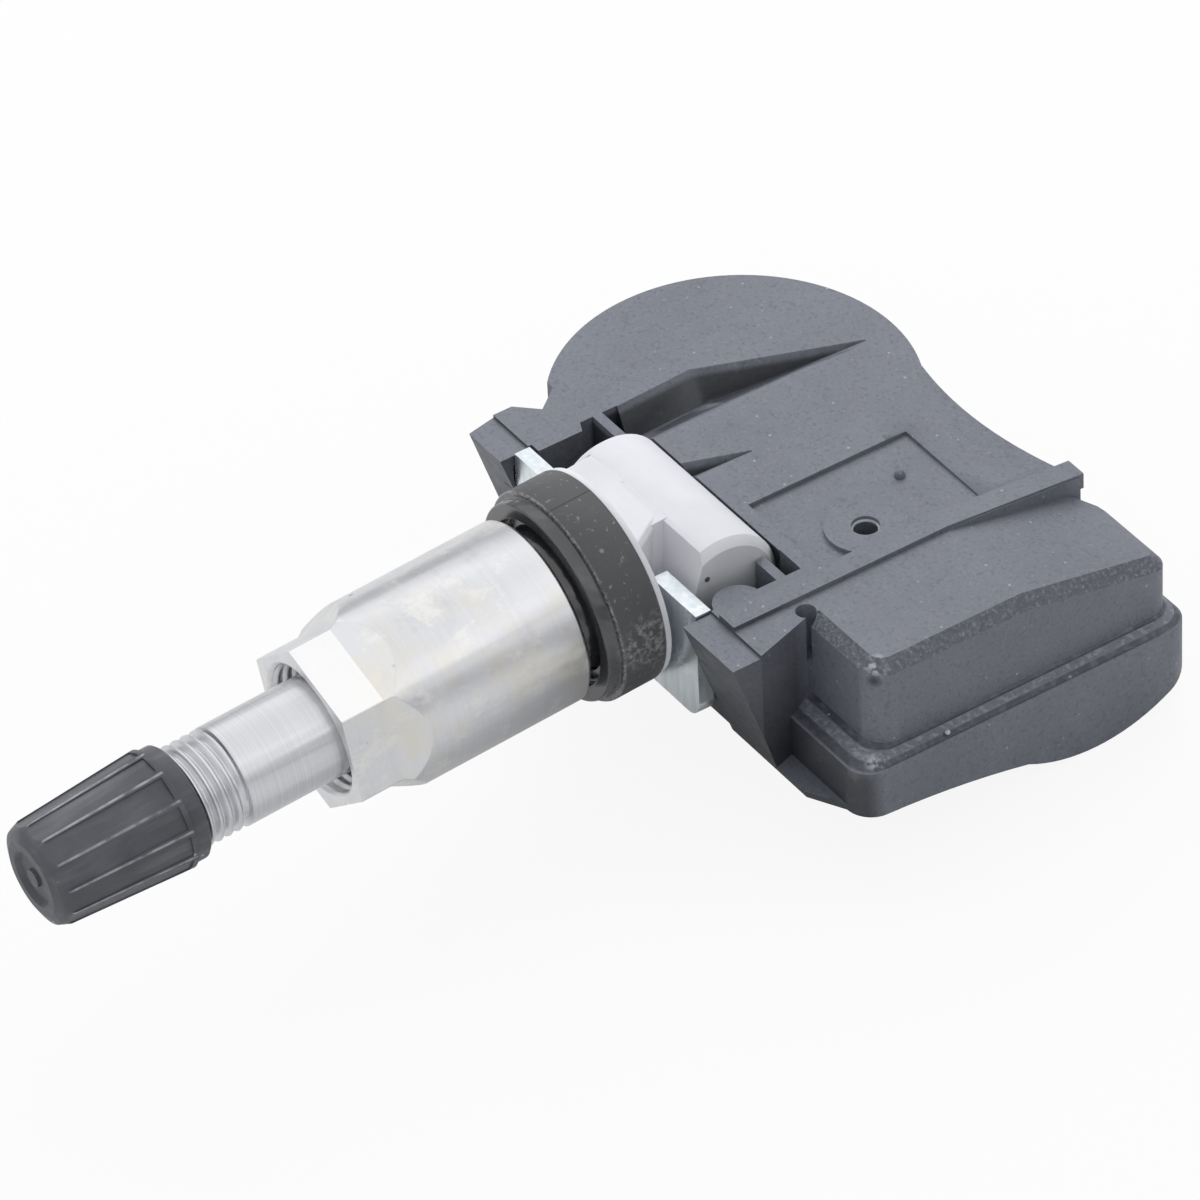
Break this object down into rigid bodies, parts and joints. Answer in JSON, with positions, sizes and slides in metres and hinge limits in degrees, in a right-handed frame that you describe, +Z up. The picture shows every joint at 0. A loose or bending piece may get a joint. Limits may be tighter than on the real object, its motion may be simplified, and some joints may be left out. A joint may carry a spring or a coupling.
{
  "type": "tyre pressure sensor",
  "caption": "Tyre pressure sensor: clamp-in metal valve with seal, collar nut and dust cap, swivelling in the cradle of a moulded sensor housing.",
  "frame": {"origin": "on the valve's axis, on the face of the seal's lip that the rim is clamped to", "axes": "-Y along the valve, from the swivel head to the dust cap; +X parallel to the swivel head, towards the box side of the housing; +Z up, away from the rim well; the housing hangs 4 degrees down at rest"},
  "size_m": [0.0466, 0.0815, 0.0228],
  "materials": {
    "aluminium": "satin turned aluminium",
    "nut_aluminium": "brushed aluminium, a little stained",
    "seal_rubber": "matt black rubber",
    "cap_plastic": "matt grey-black plastic",
    "housing_plastic": "matt glass-filled nylon",
    "zinc_steel": "bright zinc plate",
    "brass": "turned brass",
    "spring_steel": "plain steel",
    "board_laminate": "green solder mask",
    "chip_plastic": "black moulding compound",
    "crystal_can": "nickel-plated can",
    "ferrite": "dark ferrite",
    "copper": "enamelled copper wire",
    "membrane_film": "white porous film"
  },
  "bodies": {
    "valve": {"valve_stem": "aluminium", "rim_seal": "seal_rubber", "core_body": "brass", "core_spring": "spring_steel"},
    "housing": {"housing_shell": "housing_plastic", "bottom_cover": "housing_plastic", "retaining_plate": "zinc_steel", "battery_cell": "spring_steel", "battery_tab_plus": "spring_steel", "battery_tab_minus": "spring_steel", "pressure_sensor": "chip_plastic", "port_gasket": "seal_rubber", "port_membrane": "membrane_film", "circuit_board": "board_laminate", "controller_chip": "chip_plastic", "quartz_crystal": "crystal_can", "capacitor_1": "chip_plastic", "capacitor_2": "chip_plastic", "lf_coil_core": "ferrite", "lf_coil_winding": "copper", "rf_antenna": "spring_steel"},
    "nut": {"collar_nut": "nut_aluminium"},
    "cap": {"valve_cap": "cap_plastic", "cap_seal": "seal_rubber"},
    "core_pin": {"core_pin": "brass", "core_seal": "seal_rubber"}
  },
  "joints": [
    {"name": "swivel", "type": "hinge", "parent": "valve", "child": "housing", "pos_m": [0, 0.0103, 0], "axis": [1, 0, 0], "range_deg": [0, 24]},
    {"name": "nut_slide", "type": "slide", "parent": "valve", "child": "nut", "axis": [0, -1, 0], "range_m": [0, 0.045]},
    {"name": "cap_slide", "type": "slide", "parent": "valve", "child": "cap", "axis": [0, -1, 0], "range_m": [0, 0.014]},
    {"name": "pin_press", "type": "slide", "parent": "valve", "child": "core_pin", "axis": [0, 1, 0], "range_m": [0, 0.0012], "stiffness_N_per_m": 800, "springref_m": -0.001, "deforming": ["core_spring"]}
  ]
}
